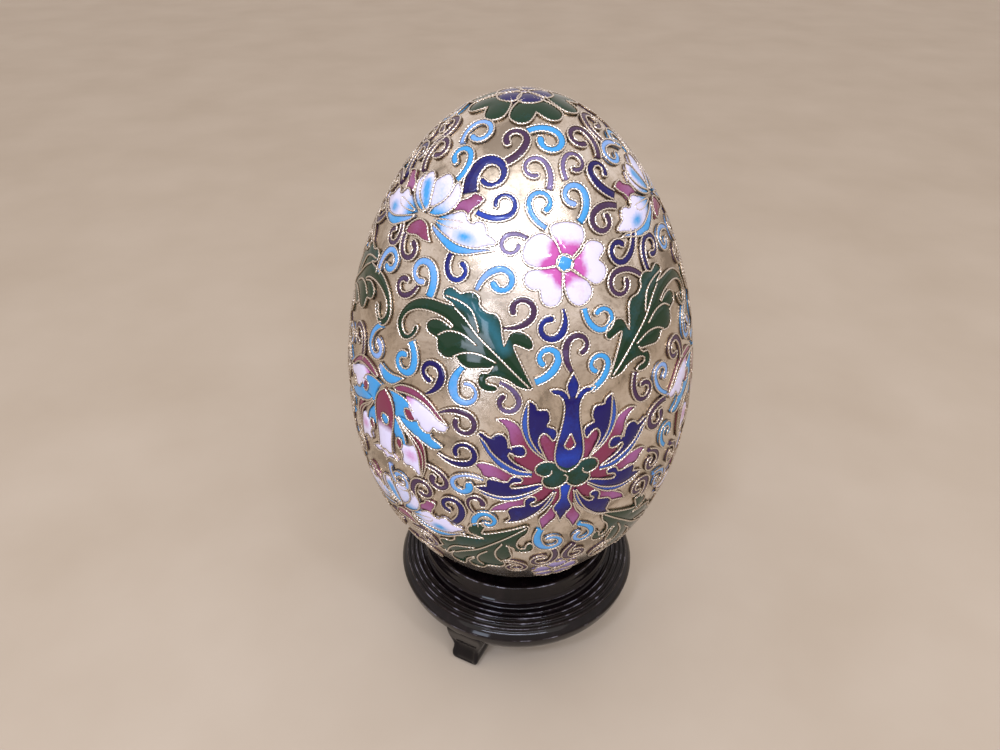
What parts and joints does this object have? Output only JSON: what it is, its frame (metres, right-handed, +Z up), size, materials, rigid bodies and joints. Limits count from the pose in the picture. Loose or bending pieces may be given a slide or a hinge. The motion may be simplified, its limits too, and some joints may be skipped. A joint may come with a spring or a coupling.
{
  "type": "jewelled egg on a stand",
  "caption": "Decorative cloisonne egg with raised enamel flowers and scrolls on a gilt ground, resting upright in a small turned and lacquered wood stand on feet.",
  "frame": {"origin": "On the surface the stand's feet rest on, under the middle of the stand and the egg.", "axes": "+Z up through the egg's blunt end to its pointed end; -Y is the front, which shows the large blue lotus; +X is to the right of someone facing the front."},
  "size_m": [0.0832, 0.0834, 0.1456],
  "materials": {
    "gilt_ground": "pale gilt copper, satin, lightly tarnished",
    "gilt_wire": "twisted gilt wire, polished",
    "navy_enamel": "polished cloisonne enamel",
    "royal_blue_enamel": "polished cloisonne enamel",
    "sky_blue_enamel": "polished cloisonne enamel",
    "green_enamel": "polished cloisonne enamel",
    "magenta_enamel": "polished cloisonne enamel",
    "violet_enamel": "polished cloisonne enamel",
    "white_enamel": "polished cloisonne enamel",
    "lacquered_wood": "dark brown-black gloss lacquer"
  },
  "bodies": {
    "root": {"egg": "gilt_ground", "stand": "lacquered_wood", "foot_1": "lacquered_wood", "foot_2": "lacquered_wood", "foot_3": "lacquered_wood"}
  },
  "joints": []
}
